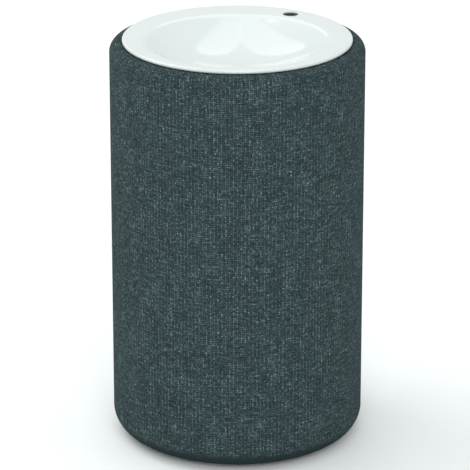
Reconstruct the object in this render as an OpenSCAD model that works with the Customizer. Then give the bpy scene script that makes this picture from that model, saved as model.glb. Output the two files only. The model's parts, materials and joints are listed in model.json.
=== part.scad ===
// Smart speaker: a fabric-wrapped cylinder with a glossy dish on top, a woofer
// that fires down onto a deflector, a tweeter that fires up onto a diffuser,
// and the electronics between the tweeter and the dish.
// The origin is at the middle of the base, on the surface the speaker stands
// on. +Z is up, the front faces -Y and the connection panel faces +Y.

/* [Body] */
// Diameter over the fabric
body_d = 100; // [100:1:125]
// Height of the fabric-covered body, underside to top face
body_h = 161.4; // [160:0.2:200]
// Radius of the rounded bottom corner
corner_r = 9.5; // [6:0.5:10]
// Radius of the rounded top shoulder
shoulder_r = 4; // [2.5:0.5:5]
// Thickness of the fabric
fabric_t = 0.8; // [0.5:0.1:1.2]
// How far the foot ring stands out under the base
foot_h = 1; // [0.6:0.1:2]
// Wall of the perforated tube that carries the fabric
grille_t = 1.6; // [1.2:0.1:2.4]

/* [Top dish] */
// From the outside of the fabric to the outer edge of the lip
lip_inset = 5; // [4.8:0.2:8]
// Height of the lip above the fabric
lip_rise = 1.6; // [1.2:0.1:3]
// Diameter of the bowl at its mouth
bowl_d = 77; // [68:1:77]
// Depth of the bowl below the lip
bowl_depth = 10; // [6:0.5:10]
// How far the bowl sits forward of the body's axis
bowl_shift = 4; // [2:0.5:4]
// Radius of the edge that rolls over into the bowl
bowl_roll_r = 8; // [4:0.5:10]
// Wall of the dish
dish_wall = 2; // [1.5:0.1:2]
// Diameter of the dark sensor window in the flat behind the bowl
sensor_d = 6.2; // [4:0.1:6.2]

/* [Woofer] */
// Outer diameter of the woofer's frame
woofer_d = 72; // [66:1:72]
// Diameter of the voice coil
coil_d = 20; // [18:1:22]
// Travel of the cone each way
woofer_travel = 2.5; // [1:0.5:3]

/* [Tweeter] */
// Outer diameter of the tweeter's faceplate
tweeter_d = 36; // [34:1:40]
// Travel of the tweeter's dome each way
tweeter_travel = 0.3; // [0.1:0.1:0.5]

/* [Rear panel] */
// Width of the panel that carries the power inlet and the button
panel_w = 30; // [28:1:36]
// Height of the panel
panel_h = 15; // [14:1:18]
// Diameter of the microphone-mute button
button_d = 7; // [6:0.5:8]
// Travel of the button
button_travel = 0.8; // [0.4:0.1:1]

/* [Enclosure] */
// Wall of the woofer's enclosure
box_wall = 2.4; // [2:0.1:3]
// Inner height of the woofer's enclosure
box_h = 60; // [54:1:64]

/* [Hidden] */
$fn = 96;

gap = 0.3; // clearance between pieces that must not touch
slip = 0.1; // radial clearance of a piece that drops into a recess
over = 1; // how far a cutter runs past the face it cuts

// Levels and radii of the outside
body_r = body_d / 2;
under_z = foot_h;
top_z = under_z + body_h;
core_r = body_r - fabric_t;
grille_r = core_r - grille_t;
lip_r = body_r - lip_inset;
crest_z = top_z + lip_rise;
hem_w = 3; // width of the fabric turned in under the base
hem_r = body_r - corner_r - hem_w;

// Screws: [shank radius, pilot radius, head radius, head height]
small_screw = [0.8, 0.65, 1.5, 1.0];
screw = [1.25, 1.05, 2.3, 1.5];
clearance_r = 0.15; // a screw's shank to its clearance hole

// Base
plate_t = 2.4; // base plate
floor_z = under_z + plate_t;
floor_t = 2.4; // floor of the bottom shell
seat_z = floor_z + floor_t;
shell_wall = 2.4;
shell_top = under_z + corner_r + 3.5;
foot_r = 31; // outer radius of the foot ring
foot_w = 6;
foot_groove = 0.8;
base_screw_r = 20; // circle of the base screws

// Deflector under the woofer
deflector_r = 34;
deflector_h = 15;
deflector_tip_r = 4;
deflector_foot_t = 3;

// Woofer enclosure
box_r = grille_r - 2.6;
pillar_h = 31; // from the shell's floor to the enclosure's underside
box_z = seat_z + pillar_h;
box_floor_z = box_z + box_wall;
box_top = box_floor_z + box_h;
gasket_t = 0.8;
lid_z = box_top + gasket_t;
lid_t = 3;
lid_top = lid_z + lid_t;
boss_r = 3;
pillar_r = 2.8;
pillar_circle = box_r - box_wall - screw[2] - gap;
lid_circle = box_r - box_wall - boss_r + 1.2;
lid_angle = 30;
boss_drop = 0.2; // the screw bosses stop short of the sealing rim

// Woofer, measured up from the underside of its flange
woofer_r = woofer_d / 2;
flange_t = 2.5;
flange_z = box_z - flange_t;
woofer_hole_r = woofer_r - 5;
woofer_edge_r = woofer_hole_r - 1.5; // where the surround is glued to the frame
coil_r = coil_d / 2;
cone_r = woofer_r - 13;
cone_z = flange_z + flange_t;
cone_rise = 9;
cone_t = 0.6;
neck_z = cone_z + cone_rise;
former_t = 0.5;
spider_z = neck_z + 2.2;
spider_r = cone_r - 4; // inner edge of the ring that the spider is glued to, less its seat
motor_z = spider_z + 7;
top_plate_t = 3;
magnet_t = 9;
magnet_r = 24;
yoke_t = 3;
voice_gap = 0.6; // coil to steel
winding_t = 0.35;
basket_t = 2;
basket_leg_r = spider_r + 2.4;
woofer_screw_circle = woofer_r - 2.6;

// Tweeter, measured up from the top of the lid
tweeter_r = tweeter_d / 2;
face_t = 2.5;
face_z = lid_top;
dome_r = 10;
dome_rise = 3;
tweeter_edge_w = 1.6; // width of the tweeter's surround
tweeter_screw_circle = tweeter_r - 2.2;
tweeter_coil_r = 9.6;
tweeter_coil_drop = 2.1; // how far the coil reaches into the cup at the top of its travel
cup_r = 13.5;
cup_depth = 10;
cup_wall = 2;
diffuser_r = 26;
diffuser_h = 13;
diffuser_tip_r = 3;
diffuser_screw_circle = 16;
bay_h = 22; // from the lid up to the electronics tray

// Sound slots in the tube, level with the deflector and with the diffuser
slot_count = 30;
slot_w = 5;
slot_h = 18;
slot_rows = [shell_top + 5, lid_top + 2];

// Electronics
tray_z = lid_top + bay_h;
tray_t = 2.4;
tray_r = box_r;
post_r = 3.2;
post_circle = tray_r - post_r - 0.4;
board_post_h = 4;
board_z = tray_z + tray_t + board_post_h;
board_t = 1.6;
board_r = 36;
board_top = board_z + board_t;
board_circle = 31;
can_h = 2.6;
plug_h = 4; // height of a plug socket on the main board
cable_w = 6;
cable_x = 19;
cable_y = 8;
lead_r = 0.9;
lead_circle = 30;
lead_angle = 112;

// Top frame and dish
ledge_z = top_z - 12.4;
ledge_t = 2.4;
ledge_r = 34; // inner radius of the ledge
ledge_top = ledge_z + ledge_t;
frame_wall = 2.4;
fabric_inner_r = lip_r - 0.7; // where the fabric ends under the lip
skirt_r = fabric_inner_r - gap;
skirt_wall = 1.4;
mic_board_t = 1.2;
mic_post_h = 1.6;
mic_board_top = ledge_z - mic_post_h;
mic_board_z = mic_board_top - mic_board_t;
mic_board_in_r = 18;
mic_screw_circle = 38;
mic_circle = 30;
led_circle = 22;
film_t = 0.4;
lip_edge_r = 0.8; // rounding of the lip's outer edge
dish_boss_r = 2.4;
dish_boss_h = 7.4;
dish_circle = skirt_r - skirt_wall - dish_boss_r + 0.4;
frame_circle = skirt_r - skirt_wall - screw[2] - gap;

// Bowl: a shallow sphere joined to the rolled edge by a common tangent
bowl_r = bowl_d / 2;
bowl_span = (bowl_r * bowl_r + bowl_depth * bowl_depth) / (2 * bowl_depth);
bowl_sphere_r = bowl_span - bowl_roll_r;
bowl_sphere_z = bowl_sphere_r - bowl_depth;
bowl_tangent = asin(bowl_r / bowl_span);
bowl_steps = 18;
film_steps = 10; // the touch film covers this many of the bowl's steps

// Sensor, on the flat between the bowl and the lip
sensor_angle = 56.5;
sensor_r = sensor_d / 2;
sensor_margin = 3.45; // from the window to the outer edge of the lip
sensor_circle = lip_r - sensor_margin - sensor_r;
sensor_recess = 0.5;
boot_bore_r = 1.4;
mic_board_r = sensor_circle + sensor_r;

// Rear panel
panel_z = shell_top + 4 + panel_h / 2;
panel_proud = 0.3;
panel_flange = 1.4; // lip inside the tube that the panel bears on
panel_out_r = body_r + panel_proud;
panel_in_r = grille_r - 1;
jack_x = -7;
button_x = 7;
jack_hole_r = 3.2;
jack_pin_r = 1;
button_r = button_d / 2;
button_flange = 1.2;
button_flange_t = 1;
button_clear = 0.15; // button to its hole
button_seat_y = sqrt(pow(panel_in_r, 2) - pow(button_x + button_r + button_flange, 2)) - slip;
button_face_y = panel_out_r + 0.2;
jack_w = 9.2;
jack_socket_r = 2.8;
jack_back_t = 1.4;
switch_w = 6;
switch_t = 3.4;
switch_stem_r = 1.6;
jack_face_y = sqrt(pow(panel_in_r, 2) - pow(jack_w / 2 - jack_x, 2)) - slip;
board_face_y = panel_in_r - 9; // power board's face towards the panel
power_board_t = 1.6;
power_board_h = 14;
bracket_t = 3;
bracket_w = 5;
bracket_x = max(jack_w / 2 - jack_x, button_x + switch_w / 2) + small_screw[2] + gap;
bracket_y = board_face_y - power_board_t - bracket_t;

// Points of an arc, from angle a0 to a1
function arc(x, z, r, a0, a1, n) =
    [for (i = [0 : n]) [x + r * cos(a0 + (a1 - a0) * i / n), z + r * sin(a0 + (a1 - a0) * i / n)]];

// Outline of the body at a depth below the fabric's outer face, bottom to top
function body_side(depth) = concat(
    arc(body_r - corner_r, under_z + corner_r, corner_r - depth, -90, 0, 12),
    arc(body_r - shoulder_r, top_z - shoulder_r, shoulder_r - depth, 0, 90, 8));

module ring(r_out, r_in, z, h) {
    translate([0, 0, z])
        difference() {
            cylinder(r = r_out, h = h);
            translate([0, 0, -over]) cylinder(r = r_in, h = h + 2 * over);
        }
}

module disc(r, z, h) {
    translate([0, 0, z]) cylinder(r = r, h = h);
}

module around(count, radius, start = 0) {
    for (i = [0 : count - 1])
        rotate([0, 0, start + i * 360 / count])
            translate([radius, 0, 0])
                children();
}

// A screw whose head rests at z = 0 and whose shank runs down
module down_screw(size, length) {
    difference() {
        union() {
            cylinder(r = size[2], h = size[3], $fn = 32);
            translate([0, 0, -length]) cylinder(r = size[0], h = length, $fn = 32);
        }
        translate([0, 0, size[3] * 0.4]) cylinder(r = size[2] * 0.5, h = size[3], $fn = 6);
    }
}

module up_screw(size, length) {
    mirror([0, 0, 1]) down_screw(size, length);
}

module clearance_hole(size, z, h) {
    translate([0, 0, z - over]) cylinder(r = size[0] + clearance_r, h = h + 2 * over, $fn = 32);
}

// A blind pilot hole that opens downwards at z
module pilot_up(size, z, depth) {
    translate([0, 0, z - over]) cylinder(r = size[1], h = depth + over, $fn = 32);
}

// A blind pilot hole that opens upwards at z
module pilot_down(size, z, depth) {
    translate([0, 0, z - depth]) cylinder(r = size[1], h = depth + over, $fn = 32);
}

// The rear panel's rounded outline as a bar along Y
module panel_bar(grow, y, length) {
    translate([0, y + length, panel_z]) rotate([90, 0, 0])
        union() {
            translate([-(panel_w - panel_h) / 2, -panel_h / 2 - grow, 0])
                cube([panel_w - panel_h, panel_h + 2 * grow, length]);
            for (side = [-1, 1])
                translate([side * (panel_w - panel_h) / 2, 0, 0])
                    cylinder(r = panel_h / 2 + grow, h = length, $fn = 64);
        }
}

module fabric_sleeve() {
    color([0.25, 0.31, 0.33])
        difference() {
            rotate_extrude()
                polygon(concat(
                    [[hem_r, under_z]], body_side(0),
                    [[fabric_inner_r, top_z], [fabric_inner_r, top_z - fabric_t]],
                    [for (i = [len(body_side(fabric_t)) - 1 : -1 : 0]) body_side(fabric_t)[i]],
                    [[hem_r, under_z + fabric_t]]));
            panel_bar(slip, 0, body_d);
        }
}

module grille_tube() {
    color([0.12, 0.13, 0.14])
        difference() {
            ring(core_r, grille_r, shell_top, ledge_z - shell_top);
            for (row_z = slot_rows)
                for (i = [0 : slot_count - 1])
                    if (row_z > panel_z + panel_h || abs(i - slot_count / 4) > 2.6)
                        rotate([0, 0, i * 360 / slot_count])
                            translate([grille_r - over, -slot_w / 2, row_z])
                                cube([grille_t + 2 * over, slot_w, slot_h]);
            panel_bar(slip, 0, body_d);
        }
}

module base_plate() {
    color([0.10, 0.10, 0.11])
        difference() {
            disc(hem_r - slip, under_z, plate_t);
            ring(foot_r + slip, foot_r - foot_w - slip, under_z - over, over + foot_groove);
            around(4, base_screw_r, 45) {
                clearance_hole(screw, under_z, plate_t);
                translate([0, 0, under_z - over])
                    cylinder(r = screw[2] + slip, h = over + screw[3], $fn = 32);
            }
        }
}

module foot_ring() {
    color([0.16, 0.16, 0.17])
        ring(foot_r, foot_r - foot_w, 0, foot_h + foot_groove);
}

module base_screws() {
    color("silver")
        around(4, base_screw_r, 45)
            translate([0, 0, under_z + screw[3]]) up_screw(screw, plate_t - screw[3] + floor_t + 4.5);
}

module bottom_shell() {
    side = [for (p = body_side(fabric_t)) if (p[1] < shell_top - 0.5) p];
    color([0.13, 0.13, 0.14])
        difference() {
            union() {
                rotate_extrude()
                    polygon(concat(
                        [[0, floor_z], [hem_r + slip, floor_z], [hem_r + slip, under_z + fabric_t]],
                        side,
                        [[core_r, shell_top], [core_r - shell_wall, shell_top]],
                        arc(core_r - shell_wall - 4, seat_z + 4, 4, 0, -90, 6),
                        [[0, seat_z]]));
                around(4, pillar_circle, 45) disc(pillar_r, seat_z - 0.5, pillar_h + 0.5);
                for (side = [-1, 1])
                    translate([side * bracket_x - bracket_w / 2, bracket_y, seat_z - 0.5])
                        cube([bracket_w, bracket_t, panel_z + bracket_w - seat_z]);
            }
            around(4, base_screw_r, 45) clearance_hole(screw, floor_z, floor_t);
            around(4, pillar_circle, 45) pilot_down(screw, box_z, 9);
            for (side = [-1, 1])
                translate([side * bracket_x, bracket_y - over, panel_z]) rotate([-90, 0, 0])
                    cylinder(r = small_screw[1], h = bracket_t + 2 * over, $fn = 32);
        }
}

// A flared cone that turns the woofer's sound outwards
module deflector_cone() {
    flare_r = deflector_h - deflector_foot_t;
    color([0.15, 0.15, 0.16])
        difference() {
            union() {
                rotate_extrude()
                    polygon(concat(
                        [[0, seat_z], [deflector_r, seat_z], [deflector_r, seat_z + deflector_foot_t]],
                        arc(deflector_tip_r + flare_r + 8, seat_z + deflector_h, flare_r, -90, -170, 12),
                        [[deflector_tip_r, seat_z + deflector_h + 3], [0, seat_z + deflector_h + 4]]));
                around(4, base_screw_r, 45) disc(boss_r, seat_z, 6);
            }
            around(4, base_screw_r, 45) pilot_up(screw, seat_z, 5);
        }
}

module enclosure() {
    color([0.11, 0.11, 0.12])
        difference() {
            union() {
                difference() {
                    disc(box_r, box_z, box_wall + box_h);
                    disc(box_r - box_wall, box_floor_z, box_h + over);
                }
                around(6, lid_circle, lid_angle) disc(boss_r, box_top - 10, 10 - boss_drop);
            }
            disc(woofer_hole_r, box_z - over, box_wall + 2 * over);
            around(6, lid_circle, lid_angle) pilot_down(screw, box_top, 8);
            around(4, pillar_circle, 45) clearance_hole(screw, box_z, box_wall);
            around(4, woofer_screw_circle) pilot_up(small_screw, box_z, box_wall + over);
        }
}

module pillar_screws() {
    color("silver")
        around(4, pillar_circle, 45)
            translate([0, 0, box_floor_z]) down_screw(screw, box_wall + 6);
}

module enclosure_gasket() {
    color([0.2, 0.2, 0.2])
        difference() {
            union() {
                ring(box_r, box_r - box_wall, box_top, gasket_t);
                around(6, lid_circle, lid_angle) disc(boss_r, box_top, gasket_t);
            }
            around(6, lid_circle, lid_angle) clearance_hole(screw, box_top, gasket_t);
        }
}

module enclosure_lid() {
    color([0.11, 0.11, 0.12])
        difference() {
            union() {
                disc(box_r, lid_z, lid_t);
                around(4, post_circle, 45) disc(post_r, lid_top - 0.5, tray_z - lid_top + 0.5);
            }
            disc(cup_r + slip, lid_z - over, lid_t + 2 * over);
            around(6, lid_circle, lid_angle) clearance_hole(screw, lid_z, lid_t);
            around(4, post_circle, 45) pilot_down(screw, tray_z, 8);
            around(2, tweeter_screw_circle) pilot_down(small_screw, lid_top, 2.4);
            around(2, lead_circle, lead_angle) disc(lead_r + slip, lid_z - over, lid_t + 2 * over);
        }
}

module lid_screws() {
    color("silver")
        around(6, lid_circle, lid_angle)
            translate([0, 0, lid_top]) down_screw(screw, lid_t + gasket_t + 6);
}

// Woofer: frame, cone, suspension and motor, on the underside of the enclosure
module woofer_frame() {
    color([0.2, 0.2, 0.21])
        difference() {
            union() {
                ring(woofer_r, woofer_edge_r, flange_z, flange_t);
                ring(woofer_hole_r - slip, woofer_edge_r, flange_z, spider_z - flange_z);
                ring(woofer_hole_r - slip, spider_r - 1.5, spider_z - basket_t, basket_t);
                ring(basket_leg_r, basket_leg_r - basket_t, spider_z - basket_t,
                    motor_z - spider_z + basket_t);
                ring(magnet_r, coil_r + 2, motor_z - basket_t, basket_t);
            }
            for (a = [0 : 45 : 315])
                rotate([0, 0, a + 22.5])
                    translate([basket_leg_r + 0.5, -5, flange_z + flange_t + 1])
                        cube([woofer_r, 10, spider_z - basket_t - flange_z - flange_t - 2.5]);
            around(4, woofer_screw_circle) clearance_hole(small_screw, flange_z, flange_t);
        }
}

module woofer_surround() {
    lip_t = 0.5;
    mid = (woofer_edge_r + cone_r) / 2;
    roll = (woofer_edge_r - cone_r) / 2 - 1.2;
    color([0.13, 0.13, 0.13])
        rotate_extrude()
            polygon(concat(
                [[woofer_edge_r, flange_z], [woofer_edge_r, flange_z + lip_t]],
                arc(mid, flange_z + lip_t, roll, 0, 180, 12),
                [[cone_r, flange_z + lip_t], [cone_r, flange_z], [mid - roll + lip_t, flange_z]],
                arc(mid, flange_z + lip_t, roll - lip_t, 180, 0, 12),
                [[mid + roll - lip_t, flange_z]]));
}

module woofer_cone() {
    former_r = coil_r + former_t;
    color([0.3, 0.3, 0.31])
        rotate_extrude()
            polygon([
                [cone_r, flange_z], [cone_r, flange_z + cone_t], [cone_r - 1.5, flange_z + cone_t],
                [former_r, neck_z], [former_r, neck_z - cone_t - 0.4], [cone_r - 1.9, flange_z]]);
}

module woofer_dust_cap() {
    cap_rise = 3;
    cap_sphere = (coil_r * coil_r + cap_rise * cap_rise) / (2 * cap_rise);
    half = asin(coil_r / cap_sphere);
    center_z = neck_z - cone_t - 0.4 - cap_rise + cap_sphere;
    color([0.24, 0.24, 0.25])
        rotate_extrude()
            polygon(concat(
                arc(0, center_z, cap_sphere, -90, -90 + half, 8),
                arc(0, center_z, cap_sphere - 0.4, -90 + half, -90, 8)));
}

// The winding overhangs the top plate by the travel at each end
module woofer_voice_coil() {
    former_r = coil_r + former_t;
    former_z = neck_z - cone_t - 0.4;
    winding_top = motor_z + top_plate_t + woofer_travel;
    color([0.75, 0.5, 0.25])
        union() {
            ring(former_r, coil_r, former_z, winding_top - former_z);
            ring(former_r + winding_t, former_r, motor_z - woofer_travel, top_plate_t + 2 * woofer_travel);
        }
}

module woofer_spider() {
    waves = 3;
    steps = 24;
    spider_t = 0.4;
    function ripple(i) = 0.5 * (1 - cos(i * 360 * waves / steps));
    inner = coil_r + former_t;
    width = basket_leg_r - basket_t - inner;
    color([0.75, 0.62, 0.3])
        rotate_extrude()
            polygon(concat(
                [for (i = [0 : steps]) [inner + i * width / steps, spider_z + ripple(i)]],
                [for (i = [steps : -1 : 0]) [inner + i * width / steps, spider_z + spider_t + ripple(i)]]));
}

module woofer_top_plate() {
    color("gray")
        ring(magnet_r - 2, coil_r + former_t + 0.35 + voice_gap, motor_z, top_plate_t);
}

module woofer_magnet() {
    color([0.22, 0.22, 0.23])
        ring(magnet_r, coil_r + 4, motor_z + top_plate_t, magnet_t);
}

module woofer_yoke() {
    color("gray")
        union() {
            disc(magnet_r - 2, motor_z + top_plate_t + magnet_t, yoke_t);
            disc(coil_r - voice_gap, motor_z, top_plate_t + magnet_t + yoke_t);
        }
}

module woofer_screws() {
    color("silver")
        around(4, woofer_screw_circle)
            translate([0, 0, flange_z]) up_screw(small_screw, flange_t + box_wall + 1);
}

// Tweeter, sunk into the enclosure's lid
module tweeter_frame() {
    color([0.14, 0.14, 0.15])
        difference() {
            ring(tweeter_r, dome_r + tweeter_edge_w, face_z, face_t);
            around(2, tweeter_screw_circle) clearance_hole(small_screw, face_z, face_t);
        }
}

module tweeter_surround() {
    inner = dome_r;
    outer = dome_r + tweeter_edge_w;
    color([0.2, 0.2, 0.2])
        rotate_extrude()
            polygon(concat(
                arc((inner + outer) / 2, face_z + 1, (outer - inner) / 2, 0, 180, 8),
                arc((inner + outer) / 2, face_z + 1, (outer - inner) / 2 - 0.3, 180, 0, 8)));
}

module tweeter_dome() {
    sphere_r = (dome_r * dome_r + dome_rise * dome_rise) / (2 * dome_rise);
    half = asin(dome_r / sphere_r);
    center_z = face_z + 1 + dome_rise - sphere_r;
    color([0.3, 0.3, 0.32])
        rotate_extrude()
            polygon(concat(
                [[dome_r, face_z + 0.8], [dome_r, face_z + 1]],
                arc(0, center_z, sphere_r, 90 - half, 90, 8),
                arc(0, center_z, sphere_r - 0.3, 90, 90 - half + 1, 8),
                [[dome_r - 0.6, face_z + 0.8]]));
}

module tweeter_coil() {
    reach = tweeter_coil_drop + tweeter_travel;
    color([0.75, 0.5, 0.25])
        ring(tweeter_coil_r, tweeter_coil_r - 0.3, face_z - reach, reach + 0.8);
}

module tweeter_cup() {
    color("gray")
        difference() {
            union() {
                disc(cup_r, face_z - cup_depth, cup_depth);
                ring(cup_r, cup_r - 1, face_z - cup_depth, cup_depth);
            }
            disc(tweeter_coil_r + 0.5, face_z - cup_depth + cup_wall, cup_depth);
        }
}

module tweeter_magnet() {
    color([0.7, 0.7, 0.72])
        disc(tweeter_coil_r - 0.3 - 0.5, face_z - cup_depth + cup_wall, cup_depth - cup_wall - 0.8);
}

module tweeter_screws() {
    color("silver")
        around(2, tweeter_screw_circle)
            translate([0, 0, face_z + face_t]) down_screw(small_screw, face_t + 2);
}

// A cone that hangs over the tweeter and spreads its sound
module tweeter_diffuser() {
    flare_r = diffuser_h - diffuser_tip_r;
    color([0.15, 0.15, 0.16])
        difference() {
            rotate_extrude()
                polygon(concat(
                    [[0, tray_z], [diffuser_r, tray_z], [diffuser_r, tray_z - 2.5]],
                    arc(diffuser_tip_r + flare_r + 6, tray_z - diffuser_h + 0.5, flare_r, 90, 170, 12),
                    [[diffuser_tip_r, tray_z - diffuser_h], [0, tray_z - diffuser_h - 1]]));
            around(3, diffuser_screw_circle, 30) pilot_down(small_screw, tray_z, 2.4);
        }
}

// Electronics tray and main board
module board_tray() {
    color([0.12, 0.12, 0.13])
        difference() {
            union() {
                disc(tray_r, tray_z, tray_t);
                around(4, board_circle) disc(boss_r - 0.4, tray_z + tray_t - 0.2, board_post_h + 0.2);
                around(4, frame_circle) disc(post_r, tray_z + tray_t - 0.2, ledge_z - tray_z - tray_t + 0.2);
            }
            around(4, post_circle, 45) clearance_hole(screw, tray_z, tray_t);
            around(4, board_circle) pilot_down(small_screw, board_z, 5);
            around(4, frame_circle) pilot_down(screw, ledge_z, 8);
            around(3, diffuser_screw_circle, 30) clearance_hole(small_screw, tray_z, tray_t);
            around(2, lead_circle, lead_angle) disc(lead_r + slip, tray_z - over, tray_t + 2 * over);
        }
}

module tray_screws() {
    color("silver")
        union() {
            around(4, post_circle, 45)
                translate([0, 0, tray_z + tray_t]) down_screw(screw, tray_t + 6);
            around(3, diffuser_screw_circle, 30)
                translate([0, 0, tray_z + tray_t]) down_screw(small_screw, tray_t + 2);
        }
}

module main_board() {
    color([0.05, 0.25, 0.16])
        difference() {
            disc(board_r, board_z, board_t);
            around(4, board_circle) clearance_hole(small_screw, board_z, board_t);
        }
}

module board_screws() {
    color("silver")
        around(4, board_circle)
            translate([0, 0, board_top]) down_screw(small_screw, board_t + 4);
}

module shield_cans() {
    color("silver")
        union() {
            translate([-20, -9, board_top]) cube([18, 18, can_h]);
            translate([2, -9, board_top]) cube([13, 13, can_h]);
        }
}

module heat_spreader() {
    color([0.8, 0.8, 0.82])
        translate([-22, -10, board_top + can_h]) cube([38, 16, 1.5]);
}

module capacitors() {
    color([0.15, 0.15, 0.2])
        union() {
            for (x = [-12, 0, 12])
                translate([x, 22, board_top]) cylinder(r = 3.1, h = 7, $fn = 32);
            for (x = [-7, 6])
                translate([x - 3.2, -23, board_top]) cube([6.4, 6.4, 3.2]);
        }
}

module board_connectors() {
    color([0.9, 0.88, 0.8])
        union() {
            for (y = [cable_y, -2 * cable_y])
                translate([cable_x, y, board_top]) cube([cable_w, plug_h, plug_h]);
            translate([-14, 26, board_top]) cube([8, 3.5, 3]);
        }
}

// Two thin strip antennas on the inside of the tube, beside the main board
module wifi_antennas() {
    z = tray_z + tray_t + 4;
    color([0.6, 0.45, 0.25])
        for (a = [150, 330])
            rotate([0, 0, a])
                intersection() {
                    ring(grille_r, grille_r - 0.3, z, 12);
                    translate([0, -12, z - over]) cube([body_r, 24, 12 + 2 * over]);
                }
}

// Top frame: shoulder that backs the fabric, and the ledge that holds the dish
module top_frame() {
    upper = [for (p = body_side(fabric_t)) if (p[1] > ledge_z + 0.5) p];
    color([0.13, 0.13, 0.14])
        difference() {
            rotate_extrude()
                polygon(concat(
                    [[ledge_r, ledge_z], [core_r, ledge_z]], upper,
                    [[fabric_inner_r, top_z - fabric_t], [fabric_inner_r, top_z - fabric_t - 3],
                    [core_r - frame_wall, top_z - fabric_t - 6], [core_r - frame_wall, ledge_top],
                    [ledge_r, ledge_top]]));
            around(4, frame_circle) clearance_hole(screw, ledge_z, ledge_t);
            around(4, dish_circle, 22.5) clearance_hole(screw, ledge_z, ledge_t);
            around(4, mic_screw_circle, 70) pilot_up(small_screw, ledge_z, 1.6);
            rotate([0, 0, sensor_angle])
                translate([sensor_circle, 0, ledge_z - over])
                    cylinder(r = sensor_r + gap, h = ledge_t + 2 * over);
        }
}

module frame_screws() {
    color("silver")
        around(4, frame_circle)
            translate([0, 0, ledge_top]) down_screw(screw, ledge_t + 6);
}

module mic_board() {
    color([0.08, 0.09, 0.1])
        difference() {
            ring(mic_board_r, mic_board_in_r, mic_board_z, mic_board_t);
            around(4, mic_screw_circle, 70) clearance_hole(small_screw, mic_board_z, mic_board_t);
            around(4, frame_circle) disc(post_r + gap, mic_board_z - over, mic_board_t + 2 * over);
            around(4, dish_circle, 22.5) disc(screw[2] + gap, mic_board_z - over, mic_board_t + 2 * over);
        }
}

module microphones() {
    color("silver")
        around(4, mic_circle, 10)
            translate([-2, -1.5, mic_board_top]) cube([4, 3, 1.1]);
}

module status_leds() {
    color("white")
        around(4, led_circle, 55)
            translate([-1, -1.5, mic_board_top]) cube([2, 3, 0.9]);
}

// Small screws through spacers between the microphone board and the ledge
module mic_board_screws() {
    color("silver")
        around(4, mic_screw_circle, 70)
            union() {
                translate([0, 0, mic_board_z]) up_screw(small_screw, mic_board_t + mic_post_h + 1.4);
                disc(small_screw[2], mic_board_top, mic_post_h);
            }
}

// Touch sensor on the underside of the bowl
module touch_film() {
    edge = -90 + bowl_tangent * film_steps / bowl_steps;
    outer = bowl_sphere_r + dish_wall;
    color([0.75, 0.6, 0.3])
        translate([0, -bowl_shift, crest_z])
            rotate_extrude()
                polygon(concat(
                    arc(0, bowl_sphere_z, outer, -90, edge, film_steps),
                    arc(0, bowl_sphere_z, outer + film_t, edge, -90, film_steps)));
}

// Flat cable from the main board up to the microphone board
module ribbon_cable() {
    color([0.85, 0.85, 0.85])
        translate([cable_x, cable_y, board_top + plug_h])
            cube([cable_w, 0.3, mic_board_z - board_top - plug_h]);
}

// Rubber boot that leads from the microphone board up to the sensor window
module sensor_boot() {
    color([0.08, 0.08, 0.08])
        rotate([0, 0, sensor_angle])
            translate([sensor_circle, 0, 0])
                ring(sensor_r, boot_bore_r, mic_board_top, crest_z - dish_wall - mic_board_top);
}

module sensor_window() {
    color([0.06, 0.09, 0.1])
        rotate([0, 0, sensor_angle])
            translate([sensor_circle, 0, crest_z - dish_wall])
                cylinder(r = sensor_r, h = dish_wall - sensor_recess, $fn = 48);
}

module top_dish() {
    plate_z = crest_z - dish_wall;
    lip_z = top_z + gap;
    mouth = arc(bowl_r, -bowl_roll_r, bowl_roll_r, 90, 90 + bowl_tangent, 10);
    cup = arc(0, bowl_sphere_z, bowl_sphere_r, -90 + bowl_tangent, -90, bowl_steps);
    cup_back = arc(0, bowl_sphere_z, bowl_sphere_r + dish_wall, -90, -90 + bowl_tangent, bowl_steps);
    mouth_back = arc(bowl_r, -bowl_roll_r, bowl_roll_r - dish_wall, 90 + bowl_tangent, 90, 10);
    color([0.95, 0.96, 0.96])
        difference() {
            union() {
                difference() {
                    rotate_extrude()
                        polygon(concat(
                            [[0, plate_z], [skirt_r, plate_z], [skirt_r, lip_z], [lip_r, lip_z]],
                            arc(lip_r - lip_edge_r, crest_z - lip_edge_r, lip_edge_r, 0, 90, 6),
                            [[0, crest_z]]));
                    translate([0, -bowl_shift, 0]) disc(bowl_r, plate_z - over, dish_wall + 2 * over);
                }
                ring(skirt_r, skirt_r - skirt_wall, ledge_top, plate_z - ledge_top);
                around(4, dish_circle, 22.5) disc(dish_boss_r, ledge_top, dish_boss_h);
                translate([0, -bowl_shift, crest_z])
                    rotate_extrude()
                        polygon(concat(mouth, cup, cup_back, mouth_back));
            }
            around(4, dish_circle, 22.5) pilot_up(screw, ledge_top, dish_boss_h - 1);
            rotate([0, 0, sensor_angle])
                translate([sensor_circle, 0, plate_z - over])
                    cylinder(r = sensor_r, h = dish_wall + 2 * over, $fn = 48);
        }
}

module dish_screws() {
    color("silver")
        around(4, dish_circle, 22.5)
            translate([0, 0, ledge_z]) up_screw(screw, ledge_t + 6);
}

// Rear panel with the power inlet and the mute button
module rear_panel() {
    color([0.12, 0.12, 0.13])
        difference() {
            union() {
                intersection() {
                    panel_bar(0, 0, body_d);
                    ring(panel_out_r, panel_in_r, panel_z - panel_h, 2 * panel_h);
                }
                intersection() {
                    panel_bar(panel_flange, 0, body_d);
                    ring(grille_r, panel_in_r, panel_z - panel_h, 2 * panel_h);
                }
            }
            translate([jack_x, 0, panel_z]) rotate([-90, 0, 0]) cylinder(r = jack_hole_r, h = body_d);
            translate([button_x, 0, panel_z]) rotate([-90, 0, 0])
                cylinder(r = button_r + button_clear, h = body_d);
        }
}

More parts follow.
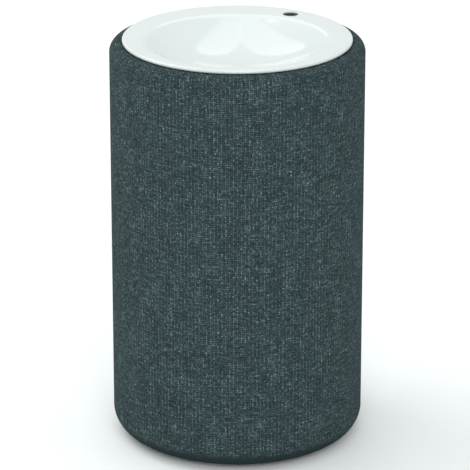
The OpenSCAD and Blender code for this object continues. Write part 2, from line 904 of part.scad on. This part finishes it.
module mute_button() {
    y_flange = button_seat_y - button_flange_t;
    color([0.3, 0.3, 0.31])
        translate([button_x, 0, panel_z]) rotate([-90, 0, 0])
            union() {
                translate([0, 0, y_flange])
                    cylinder(r = button_r, h = button_face_y - y_flange, $fn = 48);
                translate([0, 0, y_flange])
                    cylinder(r = button_r + button_flange, h = button_flange_t, $fn = 48);
            }
}

module mute_switch() {
    stem_end = button_seat_y - button_flange_t - button_travel - slip;
    color([0.15, 0.15, 0.16])
        translate([button_x, 0, panel_z])
            union() {
                translate([-switch_w / 2, board_face_y, -switch_w / 2])
                    cube([switch_w, switch_t, switch_w]);
                translate([0, board_face_y, 0]) rotate([-90, 0, 0])
                    cylinder(r = switch_stem_r, h = stem_end - board_face_y, $fn = 32);
            }
}

module power_jack() {
    color([0.1, 0.1, 0.1])
        translate([jack_x, 0, panel_z])
            union() {
                difference() {
                    translate([-jack_w / 2, board_face_y, -jack_w / 2])
                        cube([jack_w, jack_face_y - board_face_y, jack_w]);
                    translate([0, board_face_y + jack_back_t, 0]) rotate([-90, 0, 0])
                        cylinder(r = jack_socket_r, h = body_d);
                }
                translate([0, board_face_y, 0]) rotate([-90, 0, 0])
                    cylinder(r = jack_pin_r, h = jack_face_y - 1 - board_face_y, $fn = 32);
            }
}

module power_board() {
    half_w = bracket_x + bracket_w / 2;
    color([0.05, 0.25, 0.16])
        difference() {
            translate([-half_w, board_face_y - power_board_t, panel_z - power_board_h / 2])
                cube([2 * half_w, power_board_t, power_board_h]);
            for (side = [-1, 1])
                translate([side * bracket_x, bracket_y, panel_z]) rotate([-90, 0, 0])
                    cylinder(r = small_screw[0] + clearance_r, h = 10, $fn = 32);
        }
}

module power_board_screws() {
    color("silver")
        for (side = [-1, 1])
            translate([side * bracket_x, board_face_y, panel_z]) rotate([-90, 0, 0])
                down_screw(small_screw, power_board_t + 2.4);
}

// Two insulated leads from the woofer's basket up to the main board
module speaker_leads() {
    tail = lead_circle - woofer_edge_r;
    color([0.6, 0.1, 0.1])
        around(2, lead_circle, lead_angle)
            union() {
                disc(lead_r, spider_z, board_z - spider_z);
                translate([-tail, -lead_r, spider_z]) cube([tail, 2 * lead_r, lead_r]);
            }
}

fabric_sleeve();
grille_tube();
base_plate();
foot_ring();
base_screws();
bottom_shell();
deflector_cone();
enclosure();
enclosure_gasket();
enclosure_lid();
lid_screws();
pillar_screws();
woofer_frame();
woofer_surround();
woofer_cone();
woofer_dust_cap();
woofer_voice_coil();
woofer_spider();
woofer_top_plate();
woofer_magnet();
woofer_yoke();
woofer_screws();
tweeter_frame();
tweeter_surround();
tweeter_dome();
tweeter_coil();
tweeter_magnet();
tweeter_cup();
tweeter_screws();
tweeter_diffuser();
board_tray();
tray_screws();
main_board();
shield_cans();
heat_spreader();
capacitors();
board_connectors();
board_screws();
wifi_antennas();
top_frame();
frame_screws();
mic_board();
microphones();
status_leds();
mic_board_screws();
touch_film();
ribbon_cable();
sensor_boot();
sensor_window();
top_dish();
dish_screws();
rear_panel();
mute_button();
mute_switch();
power_jack();
power_board();
power_board_screws();
speaker_leads();
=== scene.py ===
import json
import math

import bmesh
import bpy
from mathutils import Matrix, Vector


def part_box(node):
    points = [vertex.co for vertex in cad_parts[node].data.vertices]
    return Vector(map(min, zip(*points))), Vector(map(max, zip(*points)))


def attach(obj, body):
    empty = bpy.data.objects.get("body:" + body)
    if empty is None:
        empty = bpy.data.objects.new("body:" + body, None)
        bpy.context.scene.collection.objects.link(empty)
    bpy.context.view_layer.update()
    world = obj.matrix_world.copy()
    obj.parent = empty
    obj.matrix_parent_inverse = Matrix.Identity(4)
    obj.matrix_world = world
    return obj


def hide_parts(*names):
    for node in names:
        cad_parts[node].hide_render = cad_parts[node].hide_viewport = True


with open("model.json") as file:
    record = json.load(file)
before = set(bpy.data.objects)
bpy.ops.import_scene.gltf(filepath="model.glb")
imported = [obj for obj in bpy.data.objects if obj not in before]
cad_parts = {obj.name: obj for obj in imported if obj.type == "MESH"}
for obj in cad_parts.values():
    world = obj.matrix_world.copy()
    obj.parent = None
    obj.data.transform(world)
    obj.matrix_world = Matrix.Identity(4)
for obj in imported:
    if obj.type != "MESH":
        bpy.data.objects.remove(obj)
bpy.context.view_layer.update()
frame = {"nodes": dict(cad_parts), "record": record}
nodes = frame["nodes"]

# ---------------------------------------------------------------- sizes, in metres
MM = 0.001

sleeve_low, sleeve_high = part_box("fabric_sleeve")
dish_low, dish_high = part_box("top_dish")

BODY_R = sleeve_high.x
UNDER_Z = sleeve_low.z
TOP_Z = sleeve_high.z
CORNER_R = 9.5 * MM
SHOULDER_R = 4 * MM
FABRIC_T = 0.8 * MM
HEM_TURN = 3 * MM
HEM_R = BODY_R - CORNER_R - HEM_TURN
OUTER_STEP = 1.5 * MM
INNER_STEP = 4 * MM

LIP_R = dish_high.x
CREST_Z = dish_high.z
LIP_EDGE_R = 0.8 * MM
LIP_GAP = 0.3 * MM
LIP_OVERLAP = 0.7 * MM
DISH_WALL = 2 * MM
SKIRT_INSET = 1 * MM
SKIRT_R = LIP_R - SKIRT_INSET
SKIRT_WALL = 1.4 * MM
SKIRT_BOTTOM_Z = dish_low.z
PANEL_FLANGE = 1.4 * MM
PANEL_GAP = 0.1 * MM
BOWL_R = 38.5 * MM
BOWL_DEPTH = 10 * MM
BOWL_SHIFT = 4 * MM
BOWL_ROLL_R = 8 * MM
BOWL_SPAN = (BOWL_R ** 2 + BOWL_DEPTH ** 2) / (2 * BOWL_DEPTH)
BOWL_SPHERE_R = BOWL_SPAN - BOWL_ROLL_R
BOWL_TANGENT = math.asin(BOWL_R / BOWL_SPAN)
BOWL_TURN = math.degrees(BOWL_TANGENT)

SLEEVE_STEPS = 360
DISH_STEPS = 256
WINDOW_STEPS = 96
WINDOW_DRILL = 20 * MM

CAMERA_LENS = 242.9
CAMERA_SHIFT = -0.005
CAMERA_BACK = 1.1863
CAMERA_RISE = 0.5140
CAMERA_TILT = math.radians(69.94)

KEY_WATTS = 5.3
FILL_WATTS = 10
BACK_LEFT_WATTS = 0.46
BACK_RIGHT_WATTS = 0.36
SKY_COLOUR = (0.95, 0.99, 1, 1)
SKY_STRENGTH = 0.85
FLOOR_SIZE = 6


# ---------------------------------------------------------------- camera, light, floor
def aim(obj, place, target):
    obj.location = place
    obj.rotation_euler = (Vector(target) - Vector(place)).to_track_quat("-Z", "Y").to_euler()


def make_camera():
    """The main view: from the front, a little above the top."""
    data = bpy.data.cameras.new("camera")
    data.sensor_width = 36
    data.lens = CAMERA_LENS
    data.shift_x = CAMERA_SHIFT
    data.clip_end = 10
    camera = bpy.data.objects.new("camera", data)
    bpy.context.scene.collection.objects.link(camera)
    camera.location = (0, -CAMERA_BACK, CAMERA_RISE + UNDER_Z)
    camera.rotation_euler = (CAMERA_TILT, 0, 0)
    bpy.context.scene.camera = camera


def area_light(name, place, target, size, watts, shape="RECTANGLE"):
    data = bpy.data.lights.new(name, "AREA")
    data.shape = shape
    data.size, data.size_y = size
    data.energy = watts
    light = bpy.data.objects.new(name, data)
    bpy.context.scene.collection.objects.link(light)
    aim(light, place, target)


def make_studio():
    """A white room: a key from the left, a fill from the front, and two tall lights behind the dish."""
    dish = (0, 0, TOP_Z)
    area_light("key", (-0.75, 0.25, 1.12), dish, (0.9, 0.9), KEY_WATTS)
    area_light("fill", (0.1, -1.5, 0.9), (0, 0, TOP_Z / 2), (0.9, 0.9), FILL_WATTS)
    area_light("back_left", (-0.135, 0.66, 0.92), dish, (0.22, 1.10), BACK_LEFT_WATTS, "ELLIPSE")
    area_light("back_right", (0.085, 0.64, 0.95), dish, (0.20, 0.84), BACK_RIGHT_WATTS, "ELLIPSE")
    world = bpy.data.worlds.new("studio")
    world.use_nodes = True
    background = world.node_tree.nodes["Background"]
    background.inputs["Color"].default_value = SKY_COLOUR
    background.inputs["Strength"].default_value = SKY_STRENGTH
    bpy.context.scene.world = world
    bpy.context.scene.view_settings.view_transform = "Standard"


# ---------------------------------------------------------------- materials
class Shader:
    """A node tree being built. Every method returns an output socket."""

    def __init__(self, name):
        self.material = bpy.data.materials.new(name)
        self.material.use_nodes = True
        self.tree = self.material.node_tree
        self.principled = self.tree.nodes["Principled BSDF"]

    def node(self, kind, sockets=None, output=0, **settings):
        made = self.tree.nodes.new("ShaderNode" + kind)
        for key, value in settings.items():
            setattr(made, key, value)
        for key, value in (sockets or {}).items():
            self.feed(made.inputs[key], value)
        return made.outputs[output]

    def feed(self, socket, value):
        if isinstance(value, bpy.types.NodeSocket):
            self.tree.links.new(value, socket)
        elif value is not None:
            socket.default_value = value

    def math(self, operation, a, b=None, c=None):
        made = self.tree.nodes.new("ShaderNodeMath")
        made.operation = operation
        for socket, value in zip(made.inputs, (a, b, c)):
            self.feed(socket, value)
        return made.outputs[0]

    def combine(self, x, y, z=0.0):
        return self.node("CombineXYZ", {0: x, 1: y, 2: z})

    def noise(self, vector, scale=1.0, detail=2.0, rough=0.5):
        sockets = {"Vector": vector, "Scale": scale, "Detail": detail, "Roughness": rough}
        return self.node("TexNoise", sockets)

    def ramp(self, value, stops):
        made = self.tree.nodes.new("ShaderNodeValToRGB")
        elements = made.color_ramp.elements
        while len(elements) < len(stops):
            elements.new(0.5)
        for element, (place, colour) in zip(elements, stops):
            element.position = place
            element.color = (*colour, 1)
        self.feed(made.inputs[0], value)
        return made.outputs[0]

    def spread(self, value, low, high, out_low, out_high):
        return self.node("MapRange", {0: value, 1: low, 2: high, 3: out_low, 4: out_high})

    def mix(self, factor, a, b):
        made = self.tree.nodes.new("ShaderNodeMix")
        made.data_type = "RGBA"
        self.feed(made.inputs[0], factor)
        self.feed(made.inputs[6], a)
        self.feed(made.inputs[7], b)
        return made.outputs[2]

    def bump(self, height, distance, strength):
        return self.node("Bump", {"Height": height, "Distance": distance, "Strength": strength})

    def surface(self, **values):
        for key, value in values.items():
            socket = key.replace("_", " ").title().replace("Ior", "IOR")
            self.feed(self.principled.inputs[socket], value)
        return self.material


YARN_DARK = (0.013, 0.021, 0.022)
YARN_MIDDLE = (0.028, 0.044, 0.047)
YARN_PALE = (0.061, 0.091, 0.096)
YARN_FLECK = (0.19, 0.265, 0.28)
PAINTED_HEM_SHADE = (0.0185, 0.031, 0.033)
PAINTED_SHADE_BAND = (13.0, 15.5)  # painted shade of the lower corner: the cloth is darkened and its bump flattened up to here, in mm from its lower edge
CLOTH_AROUND = 2 * math.pi * BODY_R / MM
YARN_PITCH = 0.75
SEAM_GROOVE = (0.25, 0.6)  # half widths of the seam's dark line, in mm
WEAVE_RELIEF = 0.15 * MM


def position(shader):
    """Object coordinates in millimetres."""
    coordinates = shader.node("TexCoord", output=3)
    return shader.node("VectorMath", {0: coordinates, 1: (1000, 1000, 1000)}, operation="MULTIPLY")


def woven_fabric():
    """Plain-weave melange: light and dark yarns cross, and each changes shade along its length."""
    s = Shader("sleeve_weave")
    uv = s.node("UVMap", uv_map="cloth")
    split = s.tree.nodes.new("ShaderNodeSeparateXYZ")
    s.feed(split.inputs[0], uv)
    across, along = split.outputs[0], split.outputs[1]

    def field(x_rate, y_rate, seed, detail=2.0, rough=0.5):
        place = s.combine(s.math("MULTIPLY", across, x_rate), s.math("MULTIPLY", along, y_rate), seed)
        return s.math("SUBTRACT", s.noise(place, 1.0, detail, rough), 0.5)

    lean = s.math("MULTIPLY", field(0.35, 0.35, 1.0), 1.3)
    u = s.math("DIVIDE", s.math("ADD", across, lean), YARN_PITCH)
    v = s.math("DIVIDE", s.math("SUBTRACT", along, lean), YARN_PITCH)
    warp, weft = s.math("FLOOR", u), s.math("FLOOR", v)
    over = s.math("PINGPONG", s.math("ADD", warp, weft), 1.0)
    warp_round = s.math("SINE", s.math("MULTIPLY", s.math("FRACT", u), math.pi))
    weft_round = s.math("SINE", s.math("MULTIPLY", s.math("FRACT", v), math.pi))

    def yarn(number, run, rate, seed):
        """Shade of one yarn: light and dark flecks along it, and every second yarn a little lighter."""
        place = s.combine(s.math("MULTIPLY", number, 7.31), s.math("MULTIPLY", run, rate), seed)
        fleck = s.noise(place, 1.0, 3, 0.7)
        pair = s.math("PINGPONG", number, 1.0)
        return s.math("ADD", s.math("MULTIPLY", fleck, 1.7), s.math("MULTIPLY", pair, 0.10))

    warp_shade, weft_shade = yarn(warp, v, 1.3, 11.5), yarn(weft, u, 0.42, 37.5)
    shade = s.math("ADD", s.math("MULTIPLY", over, warp_shade),
                   s.math("MULTIPLY", s.math("SUBTRACT", 1.0, over), weft_shade))
    cloud = s.math("MULTIPLY", field(0.16, 0.10, 3.0, 3), 0.22)
    streak = s.math("MULTIPLY", field(0.35, 0.03, 5.0), 0.14)
    slub = s.math("MULTIPLY", field(0.16, 1.4, 7.0), 0.45)
    tone = s.math("ADD", s.math("ADD", shade, cloud), s.math("ADD", streak, slub))
    crown = s.math("MULTIPLY", warp_round, weft_round)
    # painted shade: the weave is coloured darker where the yarns dip between their crowns
    tone = s.math("ADD", tone, s.math("MULTIPLY", s.math("SUBTRACT", crown, 0.4), 0.35))
    stops = [(0.10, YARN_DARK), (0.44, YARN_MIDDLE), (0.62, YARN_PALE), (0.88, YARN_FLECK)]
    colour = s.ramp(s.spread(tone, 0.3, 1.6, 0.0, 1.0), stops)
    # painted shade: the cloth turning under the lower corner is coloured darker and smooth, standing in
    # for the shade it sits in
    above_painted_shade = s.spread(along, *PAINTED_SHADE_BAND, 0.0, 1.0)
    colour = s.mix(above_painted_shade, (*PAINTED_HEM_SHADE, 1), colour)
    fibre = field(9.0, 9.0, 2.0)
    height = s.math("ADD", crown, s.math("MULTIPLY", fibre, 0.35))
    height = s.math("MULTIPLY", s.math("ADD", height, s.math("ADD", slub, streak)), above_painted_shade)
    seam = s.math("PINGPONG", across, CLOTH_AROUND / 2)
    groove = s.spread(seam, *SEAM_GROOVE, 0.0, 1.0)
    colour = s.mix(groove, (*YARN_DARK, 1), colour)
    height = s.math("ADD", height, s.math("MULTIPLY", groove, 2.0))
    return s.surface(base_color=colour, roughness=1.0, sheen_weight=0.01, sheen_roughness=0.5,
                     specular_ior_level=0.04, normal=s.bump(height, WEAVE_RELIEF, 0.9))


def gloss_white():
    s = Shader("dish_gloss")
    place = position(s)
    patch = s.noise(place, 0.03, 2)
    colour = s.ramp(patch, [(0.3, (0.63, 0.68, 0.665)), (0.7, (0.655, 0.70, 0.685))])
    peel = s.noise(place, 0.35, 1)
    dust = s.noise(place, 2.0, 3)
    rough = s.spread(dust, 0.35, 0.75, 0.07, 0.12)
    return s.surface(base_color=colour, roughness=rough, specular_ior_level=0.5, coat_weight=0.2,
                     coat_roughness=0.04, normal=s.bump(peel, 0.00002, 0.3))


def moulded(name, colour, rough, grain=0.00003):
    s = Shader(name)
    place = position(s)
    fine = s.noise(place, 4.0, 3, 0.6)
    broad = s.noise(place, 0.08, 2)
    light = tuple(min(1, c * 1.25 + 0.004) for c in colour)
    dark = tuple(c * 0.85 for c in colour)
    tint = s.ramp(broad, [(0.3, dark), (0.7, light)])
    roughness = s.spread(fine, 0.3, 0.7, rough - 0.06, rough + 0.06)
    return s.surface(base_color=tint, roughness=roughness, normal=s.bump(fine, grain, 0.6))


def metal(name, colour, rough):
    s = Shader(name)
    place = position(s)
    stretched = s.node("VectorMath", {0: place, 1: (0.4, 0.4, 6)}, operation="MULTIPLY")
    brush = s.noise(stretched, 1.0, 3)
    tint = s.ramp(s.noise(place, 0.15, 2), [(0.3, tuple(c * 0.88 for c in colour)), (0.7, colour)])
    roughness = s.spread(brush, 0.3, 0.7, rough - 0.06, rough + 0.08)
    return s.surface(base_color=tint, metallic=1.0, roughness=roughness,
                     normal=s.bump(brush, 0.00001, 0.4))


def smoked_glass():
    s = Shader("smoked_window")
    place = position(s)
    stops = [(0.3, (0.008, 0.012, 0.013)), (0.7, (0.014, 0.019, 0.020))]
    tint = s.ramp(s.noise(place, 0.6, 2), stops)
    return s.surface(base_color=tint, roughness=0.35, specular_ior_level=0.02)


def circuit_board():
    s = Shader("circuit_board")
    place = position(s)
    traces = s.node("TexVoronoi", {"Vector": place, "Scale": 0.35}, feature="DISTANCE_TO_EDGE")
    line = s.spread(traces, 0.02, 0.05, 1.0, 0.0)
    tint = s.mix(line, (0.012, 0.085, 0.045, 1), (0.03, 0.18, 0.10, 1))
    return s.surface(base_color=tint, roughness=0.3, coat_weight=0.3,
                     normal=s.bump(line, 0.00003, 0.5))


def cloth_like(name, dark, light, scale):
    s = Shader(name)
    place = position(s)
    speck = s.noise(place, scale, 3, 0.6)
    return s.surface(base_color=s.ramp(speck, [(0.3, dark), (0.7, light)]), roughness=0.85,
                     sheen_weight=0.2, normal=s.bump(speck, 0.00005, 0.7))


def pale_floor():
    s = Shader("studio_floor")
    place = position(s)
    stops = [(0.3, (0.93, 0.94, 0.94)), (0.7, (0.95, 0.955, 0.955))]
    tint = s.ramp(s.noise(place, 0.01, 2), stops)
    return s.surface(base_color=tint, roughness=0.8)


SLOT_MATERIALS = {
    "sleeve_fabric": woven_fabric(),
    "white_gloss": gloss_white(),
    "black_plastic": moulded("black_plastic", (0.016, 0.017, 0.018), 0.5),
    "panel_plastic": moulded("panel_plastic", (0.018, 0.020, 0.021), 0.42),
    "button_plastic": moulded("button_plastic", (0.035, 0.037, 0.040), 0.38),
    "foot_rubber": moulded("foot_rubber", (0.022, 0.022, 0.022), 0.75, 0.00005),
    "black_rubber": moulded("black_rubber", (0.012, 0.012, 0.012), 0.68),
    "smoked_window": smoked_glass(),
    "basket_metal": moulded("basket_metal", (0.02, 0.02, 0.021), 0.35),
    "plated_steel": metal("plated_steel", (0.62, 0.62, 0.64), 0.3),
    "screw_steel": metal("screw_steel", (0.48, 0.48, 0.50), 0.32),
    "ferrite": moulded("ferrite", (0.03, 0.03, 0.032), 0.55, 0.00006),
    "nickel": metal("nickel", (0.72, 0.72, 0.70), 0.25),
    "copper": metal("copper", (0.70, 0.34, 0.16), 0.3),
    "cone_paper": cloth_like("cone_paper", (0.014, 0.014, 0.014), (0.04, 0.04, 0.04), 1.2),
    "dome_fabric": cloth_like("dome_fabric", (0.02, 0.02, 0.022), (0.05, 0.05, 0.055), 6.0),
    "spider_cloth": cloth_like("spider_cloth", (0.45, 0.30, 0.09), (0.65, 0.47, 0.18), 3.0),
    "circuit_board": circuit_board(),
    "component_black": moulded("component_black", (0.012, 0.012, 0.013), 0.35),
    "connector_plastic": moulded("connector_plastic", (0.62, 0.60, 0.52), 0.45),
    "antenna_film": metal("antenna_film", (0.55, 0.30, 0.12), 0.35),
    "led_lens": moulded("led_lens", (0.75, 0.75, 0.68), 0.15),
    "lead_insulation": moulded("lead_insulation", (0.28, 0.02, 0.02), 0.4),
    "spreader_aluminium": metal("spreader_aluminium", (0.75, 0.75, 0.76), 0.4),
}


# ---------------------------------------------------------------- mesh helpers
def arc(x, z, radius, start, end, steps):
    """Points of an arc in the XZ plane, from angle start to end in degrees."""
    points = []
    for i in range(steps + 1):
        angle = math.radians(start + (end - start) * i / steps)
        points.append((x + radius * math.cos(angle), z + radius * math.sin(angle)))
    return points


def piece(name, mesh, body, slot, replaced):
    """A visible piece that rides a body and stands in for one CAD node."""
    obj = bpy.data.objects.new(name, mesh)
    bpy.context.scene.collection.objects.link(obj)
    mesh.materials.append(SLOT_MATERIALS[slot])
    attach(obj, body)
    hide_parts(replaced)
    return obj


def smooth(mesh):
    for polygon in mesh.polygons:
        polygon.use_smooth = True


def lengths_along(outline):
    total, out = 0.0, [0.0]
    for a, b in zip(outline, outline[1:]):
        total += math.dist(a, b)
        out.append(total)
    return out


def finer(outline, step):
    """The outline with its long straight stretches divided."""
    out = [outline[0]]
    for a, b in zip(outline, outline[1:]):
        parts = max(1, round(math.dist(a, b) / step))
        for i in range(1, parts + 1):
            out.append((a[0] + (b[0] - a[0]) * i / parts, a[1] + (b[1] - a[1]) * i / parts))
    return out


def revolve(name, outline, steps):
    """A closed outline turned about Z from the back, with a UV map in millimetres."""
    bm = bmesh.new()
    layer = bm.loops.layers.uv.new("cloth")
    along = lengths_along(outline + outline[:1])
    rings = []
    for r, z in outline:
        ring = []
        for i in range(steps):
            angle = 2 * math.pi * i / steps + math.pi / 2
            ring.append(bm.verts.new((r * math.cos(angle), r * math.sin(angle), z)))
        rings.append(ring)
    for j in range(len(rings)):
        low, high = rings[j], rings[(j + 1) % len(rings)]
        for i in range(steps):
            k = (i + 1) % steps
            face = bm.faces.new((low[i], low[k], high[k], high[i]))
            corners = ((i, j), (i + 1, j), (i + 1, j + 1), (i, j + 1))
            for loop, (turn, height) in zip(face.loops, corners):
                loop[layer].uv = (CLOTH_AROUND * turn / steps, along[height] / MM)
    mesh = bpy.data.meshes.new(name)
    bm.normal_update()
    bm.to_mesh(mesh)
    bm.free()
    smooth(mesh)
    return mesh


def subtract(obj, cutter):
    """Cut the cutter out of the object and throw the cutter away."""
    cut = obj.modifiers.new("cut", "BOOLEAN")
    cut.object = cutter
    cut.solver = "EXACT"
    bpy.context.view_layer.objects.active = obj
    bpy.ops.object.modifier_apply(modifier=cut.name)
    bpy.data.objects.remove(cutter)


# ---------------------------------------------------------------- the pieces
def make_sleeve():
    """Cloth skin: in from the hem, round the corner, up, and over the shoulder."""
    def side(depth):
        return (arc(BODY_R - CORNER_R, UNDER_Z + CORNER_R, CORNER_R - depth, -90, 0, 20)
                + arc(BODY_R - SHOULDER_R, TOP_Z - SHOULDER_R, SHOULDER_R - depth, 0, 90, 12))

    edge_r = LIP_R - LIP_OVERLAP
    outer = [(HEM_R, UNDER_Z)] + side(0) + [(edge_r, TOP_Z)]
    inner = [(HEM_R, UNDER_Z + FABRIC_T)] + side(FABRIC_T) + [(edge_r, TOP_Z - FABRIC_T)]
    outline = finer(outer, OUTER_STEP) + finer(inner[::-1], INNER_STEP)
    mesh = revolve("sleeve", outline, SLEEVE_STEPS)
    obj = piece("sleeve", mesh, "speaker", "sleeve_fabric", "fabric_sleeve")
    subtract(obj, panel_cutter())
    flat = (2 * math.pi * BODY_R, lengths_along(outer)[-1])


def panel_cutter():
    """A rounded bar the size of the rear panel's outline."""
    low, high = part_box("rear_panel")
    half_h = (high.z - low.z) / 2 - PANEL_FLANGE + PANEL_GAP
    half_w = high.x - PANEL_FLANGE + PANEL_GAP
    flat = half_w - half_h
    outline = arc(flat, 0, half_h, -90, 90, 24) + arc(-flat, 0, half_h, 90, 270, 24)
    middle_z = (low.z + high.z) / 2
    bm = bmesh.new()
    ends = []
    for y in (BODY_R / 2, BODY_R * 1.2):
        ends.append([bm.verts.new((x, y, z + middle_z)) for x, z in outline])
    for face in ends:
        bm.faces.new(face)
    for i in range(len(outline)):
        k = (i + 1) % len(outline)
        bm.faces.new((ends[0][i], ends[0][k], ends[1][k], ends[1][i]))
    bmesh.ops.recalc_face_normals(bm, faces=bm.faces)
    mesh = bpy.data.meshes.new("cutter")
    bm.to_mesh(mesh)
    bm.free()
    cutter = bpy.data.objects.new("cutter", mesh)
    bpy.context.scene.collection.objects.link(cutter)
    return cutter


def make_dish():
    """Glossy dish: lip, flat and offset bowl on top; skirt below."""
    steps = DISH_STEPS
    sphere_z = BOWL_SPHERE_R - BOWL_DEPTH
    mouth = arc(BOWL_R, -BOWL_ROLL_R, BOWL_ROLL_R, 90, 90 + BOWL_TURN, 14)
    cup = arc(0, sphere_z, BOWL_SPHERE_R, -90 + BOWL_TURN, -90, 30)
    mouth_under = arc(BOWL_R, -BOWL_ROLL_R, BOWL_ROLL_R - DISH_WALL, 90, 90 + BOWL_TURN, 8)
    cup_under = arc(0, sphere_z, BOWL_SPHERE_R + DISH_WALL, -90 + BOWL_TURN, -90, 16)
    bm = bmesh.new()

    def ring(radius, z, center_y=0.0):
        points = []
        for i in range(steps):
            angle = 2 * math.pi * i / steps
            x, y = radius * math.cos(angle), center_y + radius * math.sin(angle)
            points.append(bm.verts.new((x, y, z)))
        return points

    def between(radius, z, share):
        """A ring part way from the lip's circle to the bowl's circle."""
        r = radius + (BOWL_R - radius) * share
        return ring(r, z, -BOWL_SHIFT * share)

    inside_r, under_lip_z = SKIRT_R - SKIRT_WALL, TOP_Z + LIP_GAP
    profile = [(inside_r, CREST_Z - DISH_WALL), (inside_r, SKIRT_BOTTOM_Z), (SKIRT_R, SKIRT_BOTTOM_Z),
               (SKIRT_R, under_lip_z), (LIP_R, under_lip_z)]
    profile += arc(LIP_R - LIP_EDGE_R, CREST_Z - LIP_EDGE_R, LIP_EDGE_R, 0, 90, 8)
    rings = [ring(radius, z) for radius, z in profile]
    rings += [between(LIP_R - LIP_EDGE_R, CREST_Z, share) for share in (0.25, 0.5, 0.75)]
    rings += [ring(x, CREST_Z + z, -BOWL_SHIFT) for x, z in mouth + cup[1:-1]]
    for low, high in zip(rings, rings[1:]):
        for i in range(steps):
            k = (i + 1) % steps
            bm.faces.new((low[i], low[k], high[k], high[i]))
    bottom = bm.verts.new((0, -BOWL_SHIFT, CREST_Z - BOWL_DEPTH))
    for i in range(steps):
        bm.faces.new((rings[-1][i], rings[-1][(i + 1) % steps], bottom))
    back = [ring(x, CREST_Z + z, -BOWL_SHIFT) for x, z in mouth_under + cup_under[1:-1]]
    rings_under = [rings[0]] + back
    for low, high in zip(rings_under, rings_under[1:]):
        for i in range(steps):
            k = (i + 1) % steps
            bm.faces.new((low[k], low[i], high[i], high[k]))
    under = bm.verts.new((0, -BOWL_SHIFT, CREST_Z - BOWL_DEPTH - DISH_WALL))
    for i in range(steps):
        bm.faces.new((back[-1][(i + 1) % steps], back[-1][i], under))
    bmesh.ops.recalc_face_normals(bm, faces=bm.faces)
    mesh = bpy.data.meshes.new("dish")
    bm.to_mesh(mesh)
    bm.free()
    smooth(mesh)
    return piece("dish", mesh, "speaker", "white_gloss", "top_dish")


def drill_dish(dish):
    """The hole that the sensor window fills."""
    low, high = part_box("sensor_window")
    center = (low + high) / 2
    place = (center.x, center.y, CREST_Z - DISH_WALL / 2)
    bpy.ops.mesh.primitive_cylinder_add(vertices=WINDOW_STEPS, radius=(high.x - low.x) / 2,
                                        depth=WINDOW_DRILL, location=place)
    subtract(dish, bpy.context.object)


def dress_cad_nodes():
    """Each CAD node gets the material of its slot."""
    slots = {row["node"]: row["material_slot"] for row in frame["record"]["subparts"]}
    for name, obj in nodes.items():
        obj.data.materials.clear()
        obj.data.materials.append(SLOT_MATERIALS[slots[name]])


def make_floor():
    bm = bmesh.new()
    bmesh.ops.create_grid(bm, x_segments=8, y_segments=8, size=FLOOR_SIZE)
    mesh = bpy.data.meshes.new("floor")
    bm.to_mesh(mesh)
    bm.free()
    mesh.materials.append(pale_floor())
    floor = bpy.data.objects.new("floor", mesh)
    bpy.context.scene.collection.objects.link(floor)


make_camera()
make_studio()
make_floor()
dress_cad_nodes()
make_sleeve()
drill_dish(make_dish())
